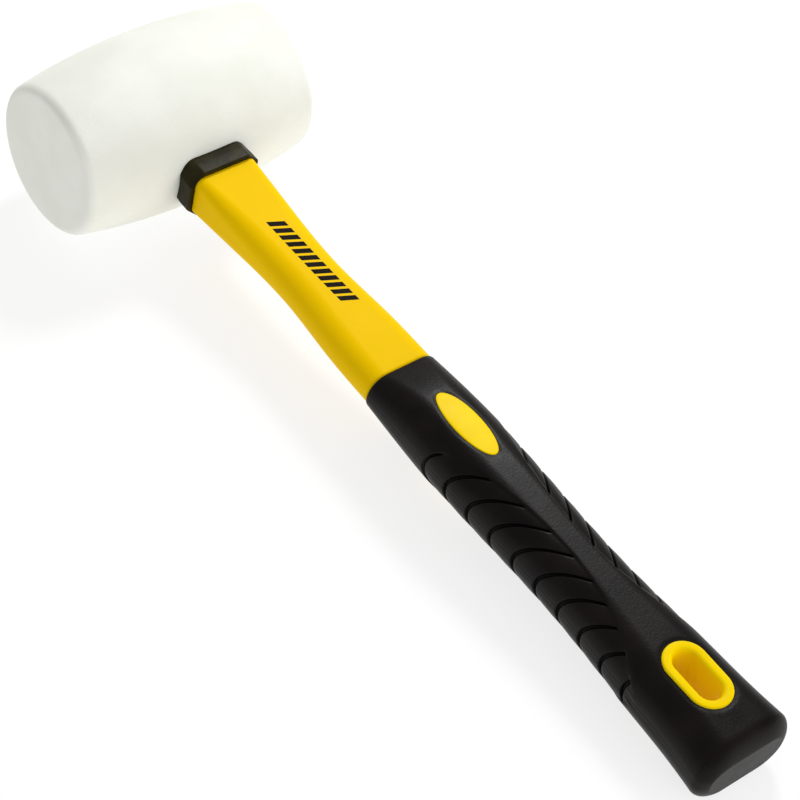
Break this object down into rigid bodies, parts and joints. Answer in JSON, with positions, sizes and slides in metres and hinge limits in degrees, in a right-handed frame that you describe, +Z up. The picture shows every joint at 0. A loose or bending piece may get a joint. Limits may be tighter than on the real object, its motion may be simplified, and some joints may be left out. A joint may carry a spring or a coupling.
{
  "type": "rubber mallet",
  "caption": "Rubber mallet with a crowned white barrel head, jacketed fibreglass handle, black ribbed grip and an obround hang eyelet.",
  "frame": {"origin": "bottom centre of the whole mallet as it lies on a bench, face up, on its barrel and the end of its butt", "axes": "+X along the barrel from one striking face to the other, +Y from the butt towards the head, +Z up; the handle slopes down 3.54 degrees from the head to the butt"},
  "size_m": [0.09, 0.324, 0.06],
  "materials": {
    "white_rubber": "matte",
    "yellow_jacket": "satin",
    "lemon_plastic": "satin",
    "black_grip": "satin",
    "black_plastic": "satin",
    "resin": "gloss",
    "fibreglass": "satin"
  },
  "bodies": {
    "root": {"rubber_head": "white_rubber", "eye_sleeve": "black_plastic", "eye_resin": "resin", "handle_rod": "fibreglass", "handle_jacket": "yellow_jacket", "grip": "black_grip", "front_inlay": "lemon_plastic", "rear_inlay": "lemon_plastic", "hang_eyelet": "lemon_plastic"}
  },
  "joints": []
}
